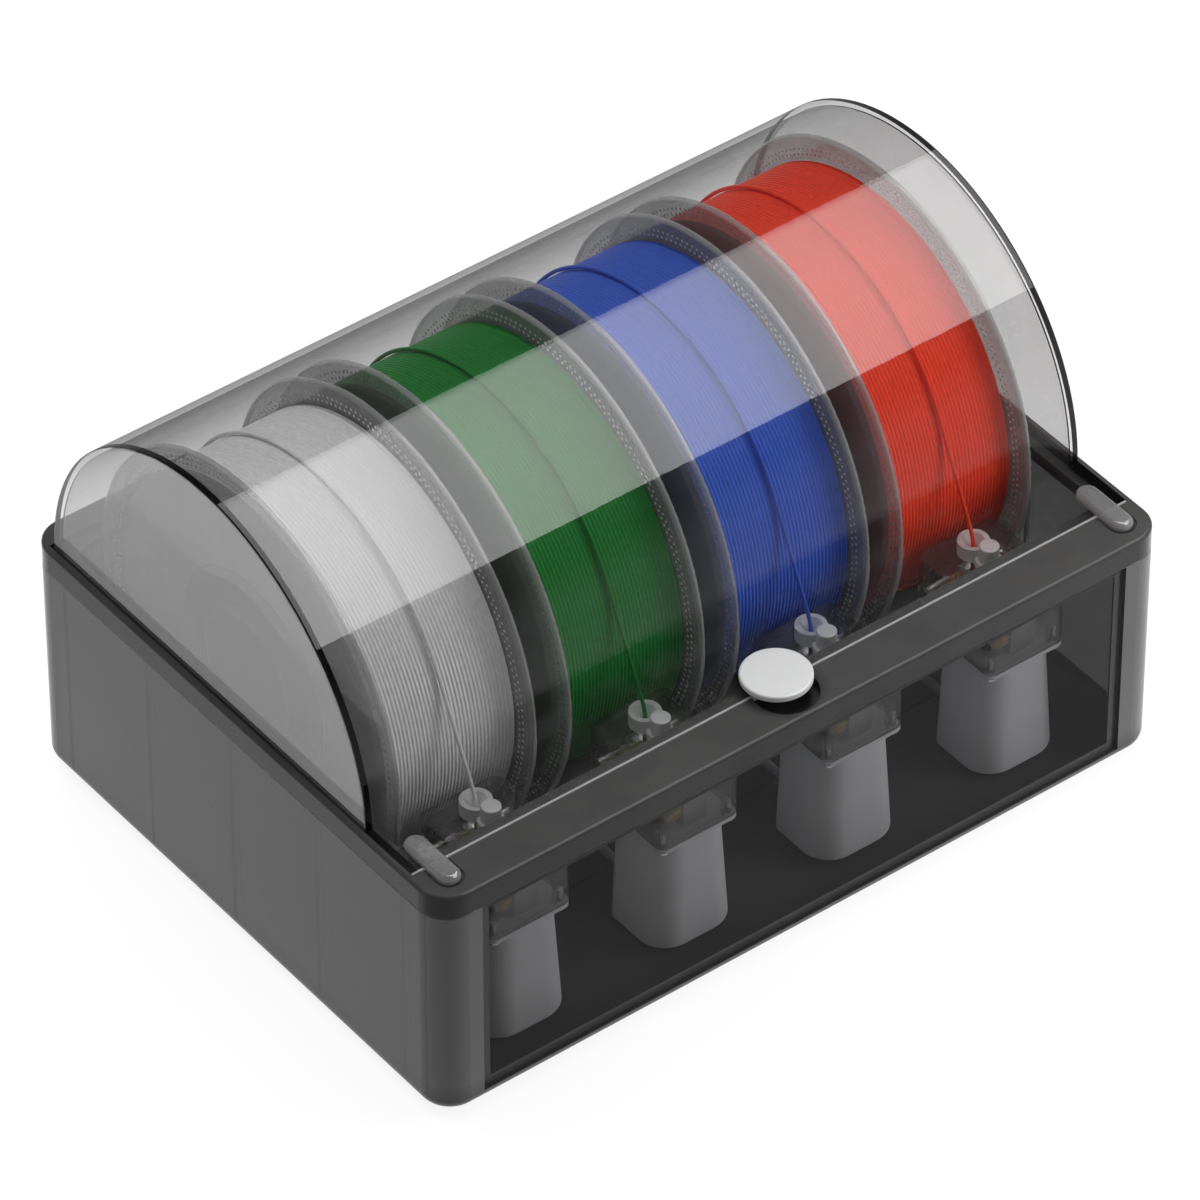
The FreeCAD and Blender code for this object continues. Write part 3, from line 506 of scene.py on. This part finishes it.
def make_materials():
    """Every material, by the slot that it finishes."""
    return {
        "smoke_plastic": tub_plastic(),
        "smoke_rim": rim_plastic(),
        "dark_panel": clear_plastic("dark_panel", tint=0.84, milk=(0.02, 0.02, 0.021), haze=0.06,
                                    mirror=0.004, roughness=0.02, mirror_edge_on=0.4),
        "rubber": moulded("rubber", (0.03, 0.03, 0.03), 0.8),
        "seal_rubber": moulded("seal_rubber", (0.015, 0.015, 0.015), 0.7),
        "steel": moulded("steel", (0.62, 0.62, 0.63), 0.28, metallic=1.0),
        "motor_steel": moulded("motor_steel", (0.5, 0.5, 0.52), 0.35, metallic=1.0),
        "dark_plastic": moulded("dark_plastic", (0.035, 0.035, 0.037), 0.5),
        "clear_feeder": clear_plastic("clear_feeder", tint=0.78, milk=(0.1, 0.1, 0.1), haze=0.10,
                                      mirror=0.04, roughness=0.02),
        "white_plastic": moulded("white_plastic", (0.69, 0.69, 0.69), 0.38, mottle=0.02),
        "grey_plastic": moulded("grey_plastic", (0.74, 0.74, 0.77), 0.5, mottle=0.03),
        "tube_plastic": clear_plastic("tube_plastic", tint=0.8, milk=(0.7, 0.7, 0.7), haze=0.5,
                                      mirror=0.04, roughness=0.1),
        "outlet_plastic": moulded("outlet_plastic", (0.02, 0.02, 0.02), 0.45),
        "board": moulded("board", (0.02, 0.12, 0.05), 0.35),
        "clear_lid": lid_plastic(),
        "clear_clip": clear_plastic("clear_clip", tint=0.8, milk=(0.35, 0.35, 0.35), haze=0.45,
                                    mirror=0.04, roughness=0.05),
        "clear_spool": spool_plastic(),
        "roller_rubber": moulded("roller_rubber", (0.04, 0.04, 0.04), 0.7),
        "brass": moulded("brass", (0.78, 0.55, 0.2), 0.3, metallic=1.0),
        "filament_white": filament("filament_white", (0.80, 0.80, 0.80)),
        "filament_green": filament("filament_green", (0.014, 0.21, 0.030)),
        "filament_blue": filament("filament_blue", (0.052, 0.128, 0.62)),
        "filament_red": filament("filament_red", (0.95, 0.062, 0.025))}


def dress_nodes(materials):
    """Each node of the construction takes the material of its slot."""
    for entry in frame["record"]["subparts"]:
        mesh = nodes[entry["node"]].data
        mesh.materials.clear()
        mesh.materials.append(materials[entry["material_slot"]])


def new_piece(name, shape, body, slot, materials):
    """A mesh piece, smooth but for its sharp edges, that rides on a body and is finished as its slot."""
    mesh = bpy.data.meshes.new(name)
    bmesh.ops.recalc_face_normals(shape, faces=shape.faces)
    for face in shape.faces:
        face.smooth = True
    for edge in shape.edges:
        edge.smooth = edge.calc_face_angle(0.0) < sharp_angle
    shape.to_mesh(mesh)
    shape.free()
    mesh.materials.append(materials[slot])
    piece = bpy.data.objects.new(name, mesh)
    bpy.context.scene.collection.objects.link(piece)
    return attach(piece, body)


def sweep(shape, points, normals, radius, sides):
    """A closed round tube along points that lie nearly across X, with normals that point out of it."""
    rings = []
    for point, normal in zip(points, normals):
        ring = []
        for side in range(sides):
            angle = 2 * math.pi * side / sides
            offset = normal * math.cos(angle) + Vector((math.sin(angle), 0, 0))
            ring.append(shape.verts.new(point + offset * radius))
        rings.append(ring)
    for first, second in zip(rings, rings[1:]):
        for side in range(sides):
            after = (side + 1) % sides
            shape.faces.new((first[side], first[after], second[after], second[side]))
    shape.faces.new(rings[0])
    shape.faces.new(rings[-1])


def outward(angle):
    """Unit vector across the spool axis, by its angle from the top towards the front."""
    return Vector((0, -math.sin(angle), math.cos(angle)))


def lathe(shape, profile, steps):
    """A ring turned about the spool axis from a closed profile of (x, radius) corners."""
    rings = []
    for step in range(steps):
        way = outward(2 * math.pi * step / steps)
        ring = []
        for x, radius in profile:
            ring.append(shape.verts.new(Vector((x, axis_y, axis_z)) + way * radius))
        rings.append(ring)
    for index, ring in enumerate(rings):
        after = rings[(index + 1) % steps]
        for corner in range(len(profile)):
            beyond = (corner + 1) % len(profile)
            shape.faces.new((ring[corner], ring[beyond], after[beyond], after[corner]))


def wind(shape, start, end):
    """Touching turns of filament from one X to another, level at both ends."""
    turns = math.ceil((end - start) / turn_pitch) + 1
    radius = winding_radius - filament_radius
    points = []
    normals = []
    for step in range(turns * steps_per_turn + 1):
        way = outward(2 * math.pi * step / steps_per_turn)
        x = start + turn_pitch * (step / steps_per_turn - 0.5)
        points.append(Vector((min(max(x, start), end), axis_y, axis_z)) + way * radius)
        normals.append(way)
    sweep(shape, points, normals, filament_radius, tube_sides)


def make_winding(number, colour, materials):
    """Full outer layer of touching turns over its core."""
    shape = bmesh.new()
    middle = lane_x[number]
    left = middle - winding_half
    right = middle + winding_half
    outer = winding_radius - turn_depth
    profile = [(left, barrel_radius), (right, barrel_radius), (right, outer), (left, outer)]
    lathe(shape, profile, steps_per_turn)
    wind(shape, left + filament_radius, right - filament_radius)
    piece = new_piece("winding_%d" % number, shape, "spool_body_%d" % number, colour, materials)
    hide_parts("winding_turns_%d" % number, "winding_core_%d" % number)


def strand_route(x):
    """Points along the last turn over the winding, the run to the inlet and the way down inside it."""
    radius = strand_high.z - filament_radius - axis_z
    centre = Vector((x, axis_y, axis_z))
    corner = Vector((x, strand_low.y + filament_radius, inlet_high.z))
    towards = math.atan2(axis_y - corner.y, corner.z - axis_z)
    leave = towards - math.acos(radius / (corner - centre).length)
    points = []
    for step in range(strand_wrap_steps + 1):
        points.append(centre + outward(leave - strand_wrap * (1 - step / strand_wrap_steps)) * radius)
    last = points[-1]
    inward = (last - corner).normalized()
    down = Vector((0, 0, -1))
    half = inward.angle(down) / 2
    bend_centre = corner + (inward + down).normalized() * (strand_bend / math.sin(half))
    start = corner + inward * (strand_bend / math.tan(half))
    finish = corner + down * (strand_bend / math.tan(half))
    for step in range(1, strand_run_steps):
        points.append(last.lerp(start, step / strand_run_steps))
    for step in range(strand_bend_steps + 1):
        arm = (start - bend_centre).lerp(finish - bend_centre, step / strand_bend_steps)
        points.append(bend_centre + arm.normalized() * strand_bend)
    points.append(Vector((x, corner.y, inlet_low.z - strand_foot_drop)))
    return points


def make_strand(number, colour, materials):
    """The end of the filament, from its winding into its inlet."""
    shape = bmesh.new()
    points = strand_route(lane_x[number])
    normals = []
    for index in range(len(points)):
        along = points[min(index + 1, len(points) - 1)] - points[max(index - 1, 0)]
        normals.append(along.cross(Vector((1, 0, 0))).normalized())
    sweep(shape, points, normals, filament_radius, tube_sides)
    piece = new_piece("filament_run_%d" % number, shape, "base", colour, materials)
    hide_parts("filament_strand_%d" % number)


def make_dot(shape, centre, out, way):
    """A low pointed dot on a flange, out along X, with its first corner that way from its middle."""
    across = way.cross(Vector((1, 0, 0)))
    tip = shape.verts.new(centre + Vector((out * dot_height, 0, 0)))
    ring = []
    for corner in range(dot_sides):
        angle = 2 * math.pi * corner / dot_sides
        arm = way * math.cos(angle) + across * math.sin(angle)
        ring.append(shape.verts.new(centre + arm * dot_radius))
    for corner in range(dot_sides):
        shape.faces.new((tip, ring[corner], ring[(corner + 1) % dot_sides]))
    shape.faces.new(ring)


def make_dots(number, materials):
    """Two rows of small moulded dots on the inner side of both flanges, finished white as painted glints.
    """
    shape = bmesh.new()
    for side in (-1, 1):
        face_x = lane_x[number] + side * (spool_half - flange_thickness)
        for row, radius in enumerate(dot_rows):
            for index in range(dots_per_row):
                way = outward(2 * math.pi * (index + row / 2) / dots_per_row)
                make_dot(shape, Vector((face_x, axis_y, axis_z)) + way * radius, -side, way)
    # Painted glints: the moulded dots are finished white so they show as bright dots.
    new_piece("flange_glint_dots_%d" % number, shape, "spool_body_%d" % number, "white_plastic", materials)


def rounded_loop(shape, x, half, front, back, z, front_corner, back_corner):
    """Vertices round a rectangle with round corners, lying at height z."""
    loop = []
    for quarter, side in enumerate((1, -1, -1, 1)):
        corner = back_corner if quarter < 2 else front_corner
        middle_x = x + side * (half - corner)
        middle_y = back - corner if quarter < 2 else front + corner
        for step in range(corner_steps + 1):
            angle = math.pi / 2 * (quarter + step / corner_steps)
            place = (middle_x + corner * math.cos(angle), middle_y + corner * math.sin(angle), z)
            loop.append(shape.verts.new(place))
    return loop


def skin(shape, loops):
    """A closed form over loops of equal length, from the lowest to the highest."""
    count = len(loops[0])
    for first, second in zip(loops, loops[1:]):
        for index in range(count):
            after = (index + 1) % count
            shape.faces.new((first[index], first[after], second[after], second[index]))
    shape.faces.new(loops[0])
    shape.faces.new(loops[-1])


def make_covers(materials):
    """Deep tapered covers with round corners, each under the plate of its feeder."""
    shape = bmesh.new()
    low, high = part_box("motor_covers")
    bottom_half = high.x - lane_x[lanes[-1]]
    taper = bottom_half - cover_top_half
    back = low.y + cover_depth
    plate_bottom = high.z - plate_height
    for number in lanes:
        x = lane_x[number]
        corners = (cover_front_corner, cover_back_corner)
        loops = []
        for step in range(corner_steps + 1):
            turn = math.pi / 2 * step / corner_steps
            inset = cover_edge * (1 - math.sin(turn))
            z = low.z + cover_edge * (1 - math.cos(turn))
            sides = (bottom_half - inset, low.y + inset, back - inset)
            loops.append(rounded_loop(shape, x, *sides, z, *corners))
        loops.append(rounded_loop(shape, x, cover_top_half, low.y + taper, back, plate_bottom, *corners))
        skin(shape, loops)
        plate = []
        for z in (plate_bottom, high.z):
            sides = (plate_half, low.y, high.y)
            plate.append(rounded_loop(shape, x, *sides, z, plate_corner, plate_corner))
        skin(shape, plate)
    piece = new_piece("motor_cover_shells", shape, "base", "grey_plastic", materials)
    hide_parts("motor_covers")


def seen_share(tree):
    """One for rays that look at the background, zero for those that light the object."""
    light = tree.nodes.new("ShaderNodeLightPath")
    rays = math_node(tree, "MAXIMUM", light.outputs["Is Camera Ray"], light.outputs["Is Glossy Ray"])
    return math_node(tree, "MAXIMUM", rays, light.outputs["Is Transmission Ray"])


def make_floor():
    """White floor that keeps the shadow."""
    made, tree = new_material("studio_floor")
    matt = add(tree, "ShaderNodeBsdfDiffuse", Color=grey(floor_albedo))
    strength = math_node(tree, "MULTIPLY", seen_share(tree), floor_glow)
    glow = add(tree, "ShaderNodeEmission", Strength=strength)
    both = tree.nodes.new("ShaderNodeAddShader")
    tree.links.new(matt.outputs["BSDF"], both.inputs[0])
    tree.links.new(glow.outputs["Emission"], both.inputs[1])
    close(tree, both.outputs["Shader"])
    shape = bmesh.new()
    bmesh.ops.create_grid(shape, x_segments=1, y_segments=1, size=floor_size / 2)
    mesh = bpy.data.meshes.new("studio_floor")
    shape.to_mesh(mesh)
    shape.free()
    mesh.materials.append(made)
    floor = bpy.data.objects.new("studio_floor", mesh)
    floor.location.z = -floor_drop
    bpy.context.scene.collection.objects.link(floor)


def make_world():
    """World that shows white, darker overhead, and fills softly."""
    world = bpy.data.worlds.new("studio")
    world.use_nodes = True
    tree = world.node_tree
    tree.nodes.clear()
    way = tree.nodes.new("ShaderNodeTexCoord").outputs["Generated"]
    rise = add(tree, "ShaderNodeSeparateXYZ", Vector=way).outputs["Z"]
    ceiling = ranged(tree, rise, math.sin(ceiling_start), math.sin(ceiling_end), 1.0, ceiling_share)
    strength = blend_values(tree, seen_share(tree), world_fill, ceiling)
    background = add(tree, "ShaderNodeBackground", Strength=strength)
    add(tree, "ShaderNodeOutputWorld", Surface=background.outputs["Background"])
    bpy.context.scene.world = world


def make_lamp(name, place, width, length, radiance, way=Vector((0, 0, -1))):
    """A rectangle of light at a place, from its size, its radiance and the way that it faces."""
    data = bpy.data.lights.new(name, "AREA")
    data.shape = "RECTANGLE"
    data.size = width
    data.size_y = length
    data.energy = radiance * math.pi * width * length
    lamp = bpy.data.objects.new(name, data)
    lamp.location = place
    lamp.rotation_euler = way.to_track_quat("-Z", "Y").to_euler()
    lamp.visible_camera = False
    bpy.context.scene.collection.objects.link(lamp)
    return lamp


def make_lamps():
    """Overhead softbox whose mirror image makes the band along the dome, a key light and a side light."""
    sight_tilt = math.atan2(sight.y, -sight.z)
    edges = []
    shifts = []
    for dome_tilt in (band_first_tilt, band_last_tilt):
        way = outward(dome_tilt)
        place = Vector((0, axis_y, lid_high.z - dome_radius)) + way * dome_radius
        leaving = 2 * dome_tilt - sight_tilt
        rise = lamp_height - place.z
        edges.append(place.y - math.tan(leaving) * rise)
        shifts.append(rise * sight.x / (math.hypot(sight.y, sight.z) * math.cos(leaving)))
    left = lid_low.x + min(shifts) - band_margin
    right = lid_high.x + max(shifts) + band_margin
    place = Vector(((left + right) / 2, sum(edges) / 2, lamp_height))
    band = make_lamp("band_light", place, right - left, max(edges) - min(edges), band_radiance)
    band.visible_diffuse = False
    key_place = Vector((key_right, key_back, lamp_height))
    key = make_lamp("key_light", key_place, key_size, key_size, key_radiance)
    key.visible_glossy = False
    side_way = side_aim - side_place
    side = make_lamp("side_light", side_place, side_size, side_size, side_radiance, side_way)
    side.visible_glossy = False


def make_camera():
    """Camera at the photograph's viewing angle."""
    data = bpy.data.cameras.new("camera")
    data.sensor_width = sensor_width
    data.lens = lens
    camera = bpy.data.objects.new("camera", data)
    camera.location = view_aim - sight * view_distance
    camera.rotation_euler = sight.to_track_quat("-Z", "Y").to_euler()
    bpy.context.scene.collection.objects.link(camera)
    bpy.context.scene.camera = camera


def main():
    """The dressed object on its stage."""
    materials = make_materials()
    dress_nodes(materials)
    colours = dict(zip(lanes, ("filament_white", "filament_green", "filament_blue", "filament_red")))
    for number in lanes:
        make_winding(number, colours[number], materials)
        make_strand(number, colours[number], materials)
        make_dots(number, materials)
    make_covers(materials)
    make_floor()
    make_world()
    make_lamps()
    make_camera()
    bpy.context.scene.view_settings.view_transform = "Standard"
    bpy.context.scene.cycles.transparent_max_bounces = clear_bounces


main()
